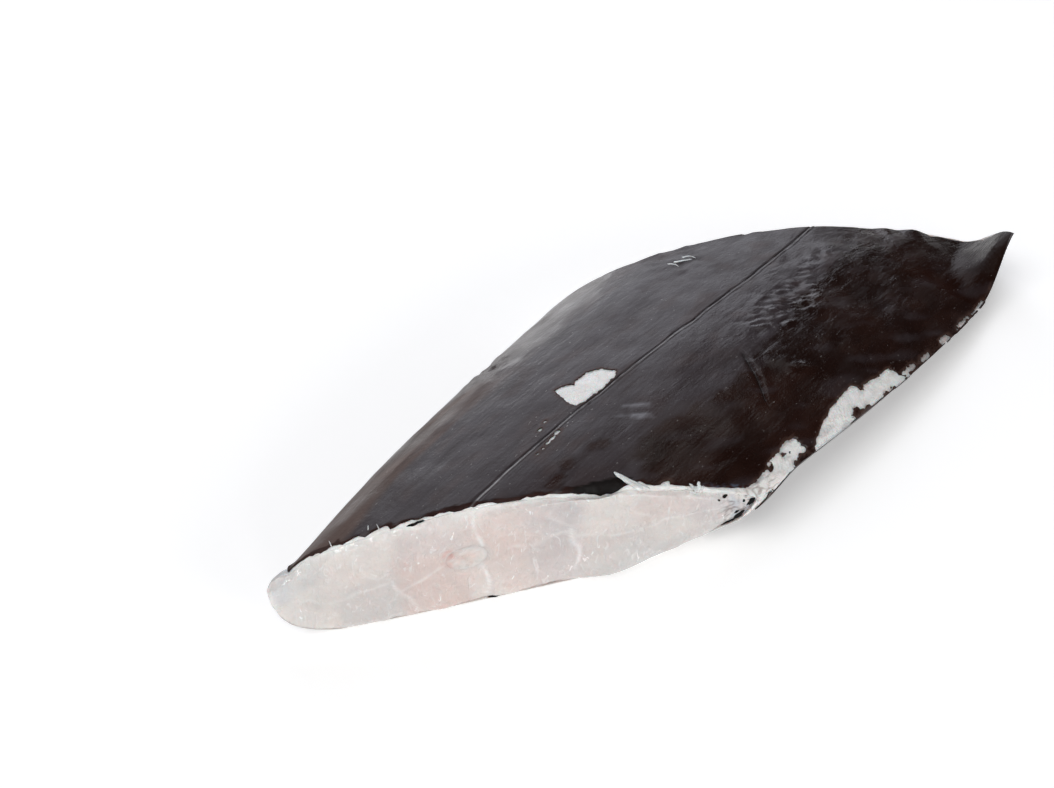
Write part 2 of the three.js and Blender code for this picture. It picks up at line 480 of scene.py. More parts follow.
def tear_distance(u, v, corners):
    """Distance from a closed outline, negative inside it."""
    ring = (*corners, corners[0])
    odd = np.zeros(len(u), bool)
    for (start_u, start_v), (end_u, end_v) in zip(ring, ring[1:]):
        crosses = (start_v > v) != (end_v > v)
        rise, run = end_v - start_v, end_u - start_u
        odd ^= crosses & ((u - start_u) * abs(rise) < (v - start_v) * run * np.sign(rise))
    return np.where(odd, -1, 1) * path_distance(u, v, ring)


def lay(stain, colour, amount):
    """Lays a colour over the stain layers."""
    under = stain[:, 3] * (1 - amount)
    cover = np.maximum(under + amount, 1e-6)
    stain[:, :3] = (stain[:, :3] * under[:, None] + np.outer(amount, colour)) / cover[:, None]
    stain[:, 3] = under + amount


def rounding(away, turn):
    """How far the flesh draws back near the edge of a cut."""
    under = np.maximum(ease(-np.sin(turn), 0, 0.35), ease(0.06 - share(turn), 0, 0.05))
    radius = 0.4 + 0.9 * under
    return 0.4 * radius * np.clip(1 - away / radius, 0, 1) ** 2


def block_tone(run, level):
    """Tone of the muscle block that a place on a cut belongs to."""
    total, tone = np.zeros((len(run), 1)), np.zeros((len(run), 3))
    for s, rise, colour in BLOCKS:
        away = np.hypot(run - s * SEAM_RUN, level - rise * SEAM_RISE)
        weight = np.exp(-away / BLOCK_SOFTNESS)[:, None] + 1e-9
        total += weight
        tone += weight * np.array(colour)
    return tone / total


def cut_look(points, k, rim, s, rise, turn):
    """Relief of a cut face, and its tint, stain and muscle layers."""
    run = s * SEAM_RUN + SEAM_WAVER * ripple(points, 6, 3.1)
    level = rise * SEAM_RISE + SEAM_WAVER * ripple(points, 6, 8.3)
    broken = 0.8 + 0.45 * ripple(points, 5, 1.7)
    seams, groove = np.zeros(len(s)), np.zeros(len(s))
    for strength, *path in SEAMS:
        away = path_distance(run, level, [(a * SEAM_RUN, b * SEAM_RISE) for a, b in path])
        seams = np.maximum(seams, strength * broken * hump(away, 0, SEAM_WIDTH))
        groove = np.maximum(groove, strength * hump(away, 0, SEAM_HOLLOW))
    beside, above = (s - BONE_SHARE) * SEAM_RUN, (rise - 0.5) * SEAM_RISE
    block = (1 - hump(beside, 0, SEPTUM_WIDTH)) * (1 - hump(above, 0, SEPTUM_WIDTH))
    relief = 0.6 * MUSCLE_BULGE * block * ease(rim, 0, 6) - SEAM_DEPTH * groove
    relief += 0.55 * ripple(points, 13, 5.5) + 0.32 * ripple(points, 5, 2.2)
    relief += 0.14 * ripple(points, 2.2, 4)
    relief *= ease(k, 0, 0.22)
    relief += hump(np.hypot((s - 0.015) * 60, (rise - 0.8) * 14), 0, 2.2)
    relief += 1.9 * hump(np.hypot((s - 0.775) * SEAM_RUN, 0.8 * level), 0, 8.5)
    relief -= rounding(rim, turn)
    flush = hump(np.hypot(beside / 1.9, above * 0.8), 0, 21) + 0.35 * ripple(points, 16, 9)
    arc = hump(np.hypot(beside + 4.2, above - 0.6), 2.4, 0.8) * ease(-beside, 2.5, 5.5)
    blood = arc * (0.6 + 0.6 * ripple(points, 1.5))
    film_and_sheen = np.exp(-((rim / 4.6) ** 1.4)) * ease(np.sin(turn), -0.15, 0.1)
    film_and_sheen *= 0.9 + 0.35 * ripple(points, 4, 2.8)
    tint = np.stack([seams, 0.75 * flush, film_and_sheen, 0.75 * blood], -1)
    corner = ease(s, 0.92, 0.97)
    stain = np.zeros((len(s), 4))
    nub = ease(0.06 - s, 0, 0.03) * ease(rise, 0.35, 0.5) * ease(rim, 0.3, 0.9)
    lay(stain, (0.62, 0.635, 0.65), 0.75 * nub * (0.7 + 0.3 * ripple(points, 4, 6)))
    lay(stain, (0.5, 0.54, 0.6), 0.6 * corner * ease(ripple(points, 3, 7.1), 0.1, 0.5))
    lay(stain, (0.1, 0.05, 0.04), 0.8 * corner * hump(ripple(points, 2.4, 3.3), 0, 0.12))
    lay(stain, (0.72, 0.63, 0.6), 0.5 * (1 - ease(k, 0, 0.08)))
    muscle = np.column_stack([block_tone(run, level), np.full(len(s), BLOCK_COVER)])
    return relief, tint, stain, muscle


def flesh_sink(wall, turn, t):
    """Shift of the flesh from the plain body's surface."""
    s = share(turn)
    sunk = np.minimum(skin_relief(wall, turn, t), 0.1) - SKIN - BED
    sunk -= rounding(from_cut(turn, t), turn) + rounding(from_cut(turn, 1 - t), turn)
    bare = ease(-skin_cover(wall, turn, t), 0.3, 1.2)
    sunk += bare * (0.2 + 0.16 * ripple(wall, (2.4, 1.2, 1.2), 3.9))
    sunk -= 0.35 * creases(wall, turn) + 0.5 * hump(crease_way(wall), 0, 2.4) * ease(-wall[:, 1], 11, 14)
    sunk = np.maximum(sunk, -0.42 * thickness_at(s, t) - 3 * (s < 0.5))
    sink = outward(turn, t) * sunk[:, None]
    sink[:, 1] += (SKIN + BED) * ease(s, 0.93, 1) * ease(t, 0.55, 0.8)
    sink[:, 2] -= edge_drop(turn, t)
    return sink + swellings(turn, t)


def build_flesh(material):
    near, far = (spaced(rings, lambda k: 1 + 1.2 * k**4)[:-1] for rings in (NEAR_RINGS, FAR_RINGS))
    side = spaced(SIDE_RINGS, lambda h: 1 + 7 * np.exp(-h / 0.02) + 4 * np.exp((h - 1) / 0.02))
    profile = [(1 + k, 0) for k in near] + [(2, h) for h in side] + [(1 + k, 1) for k in far[::-1]]
    profile += [(1, h) for h in np.linspace(1, 0, BORE_RINGS + 1)[1:-1]]
    bm = turned(profile, FLESH_COLUMNS, closed=True)
    radius, turn, t = drum_places(bm, lambda turn: 1 + 0.5 * (np.sin(turn) > 0) + hump(turn, math.pi, 0.4))
    k = np.clip(radius - 1, 0, 1)
    points, s, rise = inside(k, turn, t)
    wall = outline(turn, t)
    rim = np.linalg.norm(points - wall, axis=-1)
    points += flesh_sink(wall, turn, t) * (np.clip(1 - rim / 9, 0, 1) ** 2)[:, None]
    tint, stain, muscle = (np.zeros((len(k), 4)) for _ in range(3))
    outer = k > 0.999
    tint[:, 2] = outer
    edge = (1 - s) * slice_at(s, t)[1]
    spots = ease(ripple(points, (5, 2.4, 2.4), 4.2), 0.2, 0.7) * ease(5 - edge, 0, 3)
    torn = hump(ripple(points, 2.6, 3.3), 0, 0.14) * ease(-points[:, 0], 8, 16) * ease(4 - edge, 0, 2)
    lay(stain, (0.42, 0.41, 0.42), 0.45 * outer * spots)
    lay(stain, (0.2, 0.13, 0.11), 0.6 * outer * torn)
    lay(stain, (0.38, 0.345, 0.335), 0.8 * outer * ease(points[:, 0], 50, 56))
    lay(stain, (0.58, 0.6, 0.63), 0.8 * outer * ease(0.05 - s, 0, 0.02) * (t < 0.1))
    for end in (0, 1):
        cut = t == end
        face = (values[cut] for values in (points, k, rim, s, rise, turn))
        relief, tint[cut], stain[cut], muscle[cut] = cut_look(*face)
        relief -= 0.6 * end
        points[cut] += relief[:, None] * out_of_cut(s[cut], t[cut])
    points[:, 2] = np.maximum(points[:, 2], 0)
    set_places(bm, points)
    face_out(bm)
    painted(bm, tint=tint, stain=stain, muscle=muscle)
    made = piece("flesh_body", bm, material)
    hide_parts("flesh")
    return made


# Skin

# bare band along the belly edge: place along, depth from the edge; the skin holds where it is below 0
BELLY_TEAR = (
    (-30, 1.8), (-24.9, 2.3), (-17.7, 2.4), (-14.2, 3.3), (-8.3, 4.5), (-3.3, 5.4), (0.9, 5.5), (1.4, 2.8),
    (2.4, -0.8), (4, -0.5), (4.6, 0.7), (8, 2.2), (15.1, 4.6), (21.8, 6), (28.6, 7), (31, 7),
    (34, 5.3), (38.7, 5), (46, 4.8), (49.2, 4.6), (49.9, 2.2), (50.8, -2), (200, -2),
)
# small bare places beyond it, then bits of skin left on it: place along, depth, half length, half width
BARE_BELLY = (
    (54.5, 1.3, 3, 1), (62.5, 0.9, 2.6, 0.5), (76, 0.7, 3.2, 0.8), (88.4, 0.6, 3.6, 0.8),
    (98.5, 0.3, 4.2, 0.6),
)
LEFT_BELLY = (
    (25.8, 1.2, 2.2, 1), (30, 0.1, 2.2, 0.5), (-5.6, 3.4, 1.3, 0.6), (-1, 0, 3.6, 1.3),
    (-12.8, 3, 1, 0.4), (41, 0, 1.8, 0.5), (33.5, 5.2, 1.2, 0.4),
)
# outline of the bare place on the upper flank, as (along, across)
FLANK_TEAR = (
    (-39.9, 13.4), (-35.6, 12.3), (-34.6, 10.6), (-32.5, 11.3), (-27.5, 11.3), (-23.5, 9.5), (-22.5, 6.8),
    (-21.4, 5.4), (-24.4, 4.4), (-30.5, 3.9), (-38.7, 4.2), (-41.2, 5.2), (-41.4, 8.3),
)
# specks without skin beside the lateral line and near the cut: along, across, half length, half width
BARE_FLANK = (
    (-53.1, 2.3, 1.2, 0.5), (-55.9, 1.9, 1.3, 0.5), (-58.1, 1.7, 0.9, 0.4), (-60.6, 1.4, 0.6, 0.35),
    (-63.2, 1.2, 0.5, 0.3), (-55.3, 6.4, 0.8, 0.4), (-51.8, 7.4, 0.8, 0.4), (-44.2, -27, 1.9, 0.8),
)
# low ridges of slack skin on the belly side: along, across, half length, half width, height
RIDGES = ((23.5, -27.5, 7, 2.4, 1.3), (1, -27, 4, 4, 0.3), (43, -27.5, 7, 3, 0.8))
# places of the lateral line's cord and its two grooves across it
CORD, GROOVE, SIDE_GROOVE = -0.2, 0.3, -0.66
# places where the skin lies in folds: strength, along, across, half length, half width
FOLDS = ((1, 42, -9, 22, 8), (0.2, 14, -18, 10, 7), (0.6, 76, 0, 20, 6))
# how much further than its curl the shaded copy of the skin reaches, and from where it is laid: painted shade
# on the far belly corner's reflection
SHADE_REACH, SHADE_FROM = 0.06, 0.12
# cosine and sine of the turn that lies along each
FOLD_WAY, RIDGE_WAY, LOOSE_WAY, STRAY_SHEEN_WAY = (0.75, 0.66), (0.61, 0.79), (0.96, 0.28), (0.86, 0.51)
GLINT_STREAK_WAY = (math.cos(0.71), math.sin(0.71))
# streaks of painted highlight, dark spots where the painted sheen is left out, and the flecked place: along,
# across, half length, half width
GLINT_STREAKS = ((-18.2, -24.1, 4.2, 0.8), (-18.6, -27.9, 4.2, 0.7))
DARK_SPOTS = ((-50.5, -7.4, 1.6, 1.2), (-46.8, -8.8, 1.5, 1.1), (-60.4, -6.4, 2.4, 1.7), (-68, -8, 3, 1.4))
FLECKED = (-54, 4, 12, 6)
# edge of the painted sheen over the back half, where the skin is also rougher: place from cut to cut, share
# of the depth
PAINTED_SHEEN_EDGE = (
    (0, 0.79), (0.03, 0.78), (0.075, 0.76), (0.11, 0.71), (0.18, 0.687), (0.245, 0.704), (0.29, 0.728),
    (0.375, 0.716), (0.49, 0.68), (0.65, 0.64), (0.82, 0.613), (1, 0.61),
)
SKIN_RINGS, SKIN_COLUMNS = 104, 204
SPLIT_REACHES = 1.6, 0.8  # how near a tear the skin is split, first and again
SHADED, WHOLE, RAW = 0, 1, 2  # the skin's material slots


def patch_distance(x, y, patch):
    """Distance from the edge of an oval patch, negative inside it."""
    along, across, long, wide = patch
    return (np.hypot((x - along) / long, (y - across) / wide) - 1) * min(long, wide)


def skin_cover(points, turn, t):
    """Distance from the nearest bare place, negative where the skin is gone."""
    s = share(turn)
    x, y = points[:, 0], points[:, 1]
    upper = np.sin(turn) >= 0
    ragged = 0.45 * ripple(points, 3, 1.3) + 0.3 * ripple(points, 1.1, 4.4)
    ragged += 0.2 * ripple(points, 0.5, 2.4)
    edge = (1 - s) * slice_at(s, t)[1]
    band = np.interp(x, *np.array(BELLY_TEAR).T)
    band = np.where(upper, band, np.where(x < -9, 0.3 * band - 0.4, -0.6))
    cover = edge - band + np.where(x < 4, 0.8, 0.5) * ragged
    for patch in BARE_BELLY:
        cover = np.minimum(cover, patch_distance(x, edge, patch) + ragged + 0.5 * ~upper)
    for patch in LEFT_BELLY:
        cover = np.maximum(cover, -patch_distance(x, edge, patch) + 1.2 * ragged)
    flank_tear = tear_distance(x, y, FLANK_TEAR) + 0.4 * ragged + 0.22 * ripple(points, 0.9, 6.2)
    for patch in BARE_FLANK:
        flank_tear = np.minimum(flank_tear, patch_distance(x, y, patch) + 0.45 * ragged * min(1, patch[3]))
    return np.where(upper, np.minimum(cover, flank_tear), cover)


def skin_edges(turn):
    """How far the skin stops short of the near and the far cut, along the body."""
    s = share(turn)
    upper = np.sin(turn) >= 0
    spots = np.stack([s * 110, np.where(upper, 0, 60), s * 0], -1)
    jag = ripple(spots, 3.4, 2.7) + 0.7 * ripple(spots, 1.3, 6.1) + 0.4 * ripple(spots, 0.6, 1.9)
    white = ease(s, 0.757, 0.772) * (1.3 + 1.6 * ease(s, 0.9, 0.99)) + 1.8 * hump(s, 0.785, 0.014)
    under = (4.2 + 1.5 * jag + 7 * ease(s, 0.75, 0.85) * (1 - ease(s, 0.95, 0.98))) * ease(s, 0, 0.05)
    near = 0.25 + 0.42 * jag + np.where(upper, white, under)
    near += (4.5 + 1.2 * jag) * ease(0.032 - s, 0, 0.014) + 1.6 * hump(s, 0.275, 0.012) * upper
    far = 0.4 + 0.45 * jag + np.where(upper, 0.8 * ease(jag, 0.6, 1.2), 0.8)
    far *= 1 - 0.8 * ease(s, 0.88, 0.95)
    return np.maximum(near, 0), np.maximum(far, 0)


def tear_depth(s):
    """How deep the skin is torn away from the near cut, as a share."""
    return ease(s, 0.62, 0.735) * (1 - ease(s, 0.752, 0.772))


def from_cut(turn, t):
    """Distance of a place on the surface from the near cut."""
    return t * cut_to_cut(share(turn)) * ACROSS_CUT


def swellings(turn, t):
    """Shift of flesh and skin at the ends of the near cut: a nub at the back, the thick belly wall."""
    near = from_cut(turn, t)
    past_back = np.where(turn > math.pi, turn - FULL_TURN, turn)
    nub = np.interp(past_back, *np.array(NUB).T) * (1 - ease(near, 0.5, 3.5))
    wall = np.interp(turn, *np.array(BELLY_WALL).T) * (1 - ease(near, 3, 14))
    return np.outer(nub, NUB_WAY) + np.outer(wall, BELLY_WALL_WAY)


def edge_drop(turn, t):
    """How far the skin bends down over the edges of the cuts."""
    s = share(turn)
    upper = np.sin(turn) >= 0
    drop = 0
    for away, radius in ((t, 1 + 2.4 * tear_depth(s)), (1 - t, 0.5)):
        radius = np.where(upper, radius, 0) * ease(s, 0, 0.06) * (1 - ease(s, 0.9, 1)) + 1e-3
        gap = np.clip(1 - from_cut(turn, away) / radius, 0, 1)
        drop = drop + radius * (1 - np.sqrt(1 - gap**2))
    return drop


def crease_way(points):
    """Distance from the crease on the belly side of the flank."""
    return 0.84 * (points[:, 0] - 12 - 0.65 * (points[:, 1] + 15.1) + 0.5 * ripple(points, 5, 2.6))


def crease_span(points, turn):
    """1 along the length of the crease, 0 past its ends."""
    y = points[:, 1]
    return ease(-y, 12, 15) * ease(y, -31, -27) * (np.sin(turn) > 0)


def crease(points, turn):
    """How deep the crease is, from 0 to 1."""
    return hump(crease_way(points), 0, 0.6) * crease_span(points, turn)


def creases(points, turn):
    """Where the skin lies in folds, from 0 to 1."""
    fold = sum(strength * oval(points[:, 0], points[:, 1], patch) for strength, *patch in FOLDS)
    return np.clip(fold, 0, 1) * (np.sin(turn) > 0)


def far_tip(s, t):
    """1 at the curled far belly corner, 0 elsewhere."""
    return ease(t, 0.82, 0.95) * ease(s, 0.66, 0.82)


def line_offset(points, s, t):
    """Distance across the body from the lateral line."""
    wander = 0.2 * ripple(points * np.array([1, 0, 0]), 9, 0.5) + 0.06 * ripple(points, 1.6, 3.5)
    return slice_at(s, t)[1] * (BONE_SHARE - s) + wander


def fold_relief(points, turn):
    """Rise of the wet folds, the crease and the slack ridges."""
    wavy = along_way(points, FOLD_WAY) + 0.9 * ripple(points, 6, 6.3)[:, None]
    wrinkle = 0.3 - 0.6 * np.abs(ripple(wavy, (6, 2.1, 5), 2)) + 0.3 * ripple(wavy, (3.2, 1.1, 3), 5)
    rise = creases(points, turn) * wrinkle - 0.4 * crease(points, turn)
    rise += 0.18 * hump(crease_way(points), 1.9, 1.3) * crease_span(points, turn)
    uneven = (1 - 0.9 * np.abs(ripple(wavy, (7, 2.4, 5), 4.1))) * (np.sin(turn) >= 0)
    for along, across, long, wide, high in RIDGES:
        u, v, _ = along_way(points - (along, across, 0), RIDGE_WAY).T
        rise += high * oval(u, v, (0, 0, long, wide)) * uneven
    return rise


def skin_relief(points, turn, t):
    """Rise of the skin over the plain body."""
    s = share(turn)
    upper = np.sin(turn) >= 0
    x, tip = points[:, 0], far_tip(s, t)
    line = line_offset(points, s, t)
    rise = 0.14 * (0.75 + 0.4 * ripple(points, 1.4, 7.7)) * hump(line, CORD, 0.24)
    rise -= 0.22 * hump(line, GROOVE, 0.24) + 0.1 * hump(line, SIDE_GROOVE, 0.2)
    rise += (0.2 + 0.5 * ease(s, 0.5, 0.8)) * ripple(points, (24, 15, 15), 1.1)
    rise += 0.12 * ripple(points, (9, 6, 6), 3.6) + fold_relief(points, turn)
    loose = hump(x, -39, 9) * ease(0.16 - s, 0, 0.1) + hump(x, 38, 12) * hump(s, 0.26, 0.08)
    rise += 0.5 * loose * upper * ripple(along_way(points, LOOSE_WAY), (3.5, 1.6, 3), 8)
    far_edge = ease(t, 0.93, 1) * ease(s, 0.55, 0.7) * (1 - tip)
    rise += 0.6 * upper * far_edge * ripple(points, 7, 9.1)
    rise = np.where(upper, rise, 0.3 * rise) * np.clip(thickness_at(s, t) / 3, 0.1, 1)
    return rise + 0.15 * upper * tip * ripple(points, (4, 9, 6), 7.4) * ease(1 - s, 0, 0.05)


def raw_margin(points, turn, t):
    """How raw the skin is: 1 at its dark torn margin along the cuts, widened where the skin is torn back,
    which carries painted shade, 0 elsewhere.
    """
    s = share(turn)
    near, far = skin_edges(turn)
    uneven = 0.45 * ripple(points, 4, 3.7) + 0.5 * ripple(points, 1.2, 5.9)
    near_away = from_cut(turn, t) - near * ACROSS_CUT
    far_away = from_cut(turn, 1 - t) - far * ACROSS_CUT
    near_width = 0.7 + uneven + 0.7 * hump(s, 0.43, 0.06) + 0.4 * hump(s, 0.1, 0.07) + 2.6 * tear_depth(s)
    margin = np.maximum(ease(near_width - near_away, -0.1, 0.2), ease(0.4 + uneven - far_away, -0.1, 0.2))
    return margin * (np.sin(turn) >= 0)


def skin_stain(points, turn, t, back, dark, margin):
    """Stain layers of the skin."""
    s = share(turn)
    upper = np.sin(turn) >= 0
    stain = np.zeros((len(s), 4))
    # lighter brown along the back by the near cut, partly the skin's own brown and partly painted highlight
    lay(stain, (0.125, 0.09, 0.08), 0.55 * upper * back * (1 - ease(t, 0.1, 0.3)))
    lay(stain, (0.022, 0.008, 0.006), 0.7 * dark * upper)
    # painted shade darkening the curled far belly corner
    lay(stain, (0.016, 0.008, 0.006), 0.6 * far_tip(s, t) * upper)
    line = line_offset(points, s, t)
    start = 1 - ease(t, 0.08, 0.16)
    broken = np.clip(0.6 + 0.4 * start + 0.6 * ripple(points, 2.6, 1.9), 0, 1) * upper
    # painted shade in the grooves beside the lateral line
    groove = (1 - 0.7 * start) * hump(line, GROOVE, 0.26)
    groove = np.maximum(groove, 0.6 * (1 - start) * hump(line, SIDE_GROOVE, 0.2))
    lay(stain, (0.006, 0.004, 0.004), 0.9 * upper * groove)
    # painted highlight along the lateral line's cord, brighter near the cut
    lay(stain, (0.27, 0.26, 0.27), 0.7 * broken * hump(line, CORD, 0.19))
    lay(stain, (0.5, 0.49, 0.5), 0.6 * start * broken * hump(line, CORD, 0.16))
    # streaks of painted highlight, light grey
    u, v, _ = along_way(points, GLINT_STREAK_WAY).T
    for glint_streak in GLINT_STREAKS:
        away = patch_distance(u, v, glint_streak) + 0.5 * ripple(points, 1.6, 8.8)
        lay(stain, (0.26, 0.26, 0.29), 0.55 * upper * ease(-away, -0.5, 0.5))
    rim = ease(0.07 - s, 0, 0.05) * ease(ripple(points, (9, 4, 4), 7), -0.2, 0.4)
    lay(stain, (0.03, 0.008, 0.005), 0.8 * upper * rim)
    # painted shade darkening the crease
    lay(stain, (0.004, 0.003, 0.003), 0.6 * ease(crease(points, turn), 0.3, 0.9))
    past_edge = from_cut(turn, t) - skin_edges(turn)[0] * ACROSS_CUT
    corner = upper * ease(s, 0.89, 0.92) * ease(1.6 - past_edge, 0, 0.8)
    # bluish grey on the skin at the near belly corner, partly the tatters' own tint and partly painted
    # reflection
    lay(stain, (0.1, 0.12, 0.17), 0.6 * corner * ease(ripple(points, 1, 3.1), 0, 0.5))
    lay(stain, (0.02, 0.005, 0.003), 0.7 * margin * (1 - 0.7 * corner))
    # painted shade: near black where the skin is torn back from the cut, standing in for the hollow beneath
    # it
    lay(stain, (0.003, 0.0012, 0.001), margin * ease(tear_depth(s), 0.25, 0.5))
    return stain


def skin_look(points, turn, t, cover, margin):
    """Tint layers of the skin (brown, rough, flecks, and a rougher layer carrying painted sheen) and its
    stain layers.
    """
    s = share(turn)
    x, y = points[:, 0], points[:, 1]
    upper = np.sin(turn) >= 0
    back = ease(0.19 - s + 0.02 * ripple(points, (14, 4, 4), 2.2), 0, 0.05)
    back *= (1 - 0.75 * ease(t, 0.46, 0.56)) * np.where(upper, 1, 1 - 0.6 * ease(s, 0, 0.05))
    brown = back * (0.8 + 0.5 * ripple(points, (18, 6, 6), 2.5)) * (1.1 - 0.35 * ease(t, 0.2, 0.7))
    clouds = (0.2 - 0.13 * ease(s, 0.55, 0.65)) * ease(ripple(points, (9, 4, 4), 4.6), 0.15, 0.8)
    brown = np.maximum(np.maximum(brown, 0.6 * hump(cover, 0, 0.6)), clouds)
    worn = -0.5 * ripple(points, 2, 5.2)
    dark = np.max([ease(worn - patch_distance(x, y, spot), -0.6, 0.3) for spot in DARK_SPOTS], axis=0)
    # painted sheen over the back half, ending along a drawn edge and left out at the dark spots
    limit = np.interp(t, *np.array(PAINTED_SHEEN_EDGE).T)
    limit += 0.014 * ripple(points, 6, 3) + 0.008 * ripple(points, 2, 5.2)
    film_and_sheen = ease(limit - s, -0.008, 0.012) * (1 - dark) * ease(s, 0.02, 0.1) * (1 - 0.85 * back)
    film_and_sheen *= 1 - 0.8 * ease(t, 0.86, 0.95) * ease(s, 0.5, 0.6)
    # stray patches of painted sheen on the belly side, and a faint even painted sheen below
    stray_sheen = ease(ripple(along_way(points, STRAY_SHEEN_WAY), (16, 3, 5), 2.9), 0.2, 0.8) * ease(s, 0.62, 0.7)
    film_and_sheen = np.where(upper, np.maximum(film_and_sheen, 0.4 * stray_sheen), 0.3)
    rough = 0.1 + 0.32 * film_and_sheen + 0.1 * ripple(points, (12, 5, 5), 6.6) - 0.25 * creases(points, turn)
    rough = np.maximum(rough * (1 - 0.8 * far_tip(s, t)), 0.9 * margin)
    fleck = 0.25 + 0.75 * oval(x, y, FLECKED)
    tint = np.stack([brown, rough, fleck, film_and_sheen * (1 - margin)], -1)
    return tint, skin_stain(points, turn, t, back, dark, margin)


def skin_crowding(turn):
    upper = np.sin(turn) > 0
    return 0.4 + 0.9 * upper + 4 * hump(turn, LINE_TURN, 0.03) + 0.6 * hump(turn, math.pi, 0.5)


def skin_places(bm):
    """Turn, t and place on the plain body of each of the skin's vertices."""
    layers = bm.verts.layers.float
    turn, way = (np.array([vert[layers[name]] for vert in bm.verts]) for name in ("turn", "way"))
    near, far = skin_edges(turn)
    length = cut_to_cut(share(turn))
    t = near / length + way * (1 - (near + far) / length)
    return turn, t, outline(turn, t)


def skin_tube():
    """The skin as a tube in triangles, finer at its tears, folds and crease."""
    rings = spaced(SKIN_RINGS, lambda h: 1 + 5.5 * np.exp(-h / 0.02) + 3 * np.exp((h - 1) / 0.02))
    bm = turned([(1, h) for h in rings], SKIN_COLUMNS)
    _, *places = drum_places(bm, skin_crowding)
    for name, values in zip(("turn", "way"), places):
        layer = bm.verts.layers.float.new(name)
        for vert, value in zip(bm.verts, values.tolist()):
            vert[layer] = value
    bmesh.ops.triangulate(bm, faces=bm.faces)
    for reach in SPLIT_REACHES:
        turn, t, flat = skin_places(bm)
        beside = np.abs(crease_way(flat)) + 9 * (crease_span(flat, turn) < 0.05)
        fine = (np.abs(skin_cover(flat, turn, t)) < reach) | (beside < 1.6 * reach)
        fine |= creases(flat, turn) > 1.3 - 0.5 * reach
        fine &= (turn > 0.3) & (turn < FULL_TURN - 0.3)
        fine = dict(zip(bm.verts, fine.tolist()))
        wanted = [edge for edge in bm.edges if fine[edge.verts[0]] and fine[edge.verts[1]]]
        bmesh.ops.subdivide_edges(bm, edges=wanted, cuts=1)
        bmesh.ops.triangulate(bm, faces=[face for face in bm.faces if len(face.verts) > 3])
    return bm


def tear_open(bm, cover):
    """Cuts the bare places out of the skin."""
    layer = bm.verts.layers.float.new("cover")
    for vert, value in zip(bm.verts, cover.tolist()):
        vert[layer] = value
    crossing = {}
    for edge in bm.edges:
        a, b = edge.verts[0][layer], edge.verts[1][layer]
        if a * b < 0:
            crossing[edge] = min(0.97, max(0.03, a / (a - b)))
    split = bmesh.ops.bisect_edges(bm, edges=list(crossing), cuts=1, edge_percents=crossing)
    line = [made for made in split["geom_split"] if isinstance(made, bmesh.types.BMVert)]
    for vert in line:
        vert[layer] = 0
    bmesh.ops.connect_verts(bm, verts=line)
    gone = [face for face in bm.faces if sum(vert[layer] for vert in face.verts) < 0]
    bmesh.ops.delete(bm, geom=gone, context="FACES")
    bmesh.ops.delete(bm, geom=[vert for vert in bm.verts if not vert.link_faces], context="VERTS")


def build_skin(shaded_material, material, edge_material):
    bm = skin_tube()
    turn, t, flat = skin_places(bm)
    points = flat + outward(turn, t) * skin_relief(flat, turn, t)[:, None] + swellings(turn, t)
    points[:, 2] = np.maximum(points[:, 2] - edge_drop(turn, t), 0)
    set_places(bm, points)
    cover, margin = skin_cover(flat, turn, t), raw_margin(flat, turn, t)
    tint, stain = skin_look(flat, turn, t, cover, margin)
    painted(bm, tint=tint, stain=stain)
    # the shaded copy of the skin, with less shine, is laid over the far belly corner as painted shade on its
    # reflection
    shaded = far_tip(share(turn), t + SHADE_REACH) * (np.sin(turn) > 0) * (1 + 0.5 * ripple(flat, 5, 3))
    raw, shaded = (dict(zip(bm.verts, flags.tolist())) for flags in (margin > 0.5, shaded > SHADE_FROM))
    for face in bm.faces:
        if all(raw[vert] for vert in face.verts):
            face.material_index = RAW
        else:
            face.material_index = SHADED if all(shaded[vert] for vert in face.verts) else WHOLE
    tear_open(bm, cover)
    top = max(bm.faces, key=lambda face: face.calc_center_median().z)
    if top.normal.z < 0:
        bmesh.ops.reverse_faces(bm, faces=bm.faces)
    made = piece("black_skin", bm, shaded_material, material, edge_material)
    wall = made.modifiers.new("wall", "SOLIDIFY")
    wall.thickness = SKIN * MM
    wall.offset = -1
    wall.use_rim = True
    wall.material_offset_rim = RAW - WHOLE


# Tatters

# white strands of torn film: thickness at the root, then points in millimetres from root to tip
STRANDS = (
    (1.3, (-50.2, -24, 26.2), (-52.6, -20.2, 28.6), (-53.4, -16.6, 30.4)),
    (0.5, (-48.6, -25.2, 25.6), (-50.8, -22.6, 27.6), (-51.6, -20.4, 28.7)),
    (1, (-37.4, -32.8, 21), (-37.5, -31.6, 22.5), (-38.4, -30.8, 23.4)),
    (0.9, (-37, -32.9, 21), (-36.5, -32.6, 22.5), (-35.4, -31.8, 22.8)),
    (0.6, (-37.8, -33, 20.8), (-39, -31.9, 22), (-40.4, -30.6, 22.6)),
    (0.6, (-37, -33.3, 20.8), (-36.2, -33.6, 21.8), (-35.4, -33.2, 21.9)),
    (0.18, (-110.9, 19.7, 30.6), (-110.2, 20.3, 31), (-109.5, 20.8, 30.9)),
    (0.18, (-109.3, 17.2, 30.9), (-108.7, 18.2, 31.4), (-108.1, 19.2, 31.3)),
    (0.16, (-119.5, 24.8, 28.5), (-118.8, 25.9, 28.8), (-118.2, 26.8, 28.5)),
    (0.3, (33.8, 28.8, 27.8), (37, 27.2, 28.7), (36.2, 24.4, 28.3)),
    (0.34, (37.6, 27.6, 27.6), (39.4, 24.8, 28.7), (42.6, 24, 27.6)),
    (0.28, (41.6, 27.2, 27), (44.2, 26.2, 27.7), (44, 23.6, 27.3)),
)
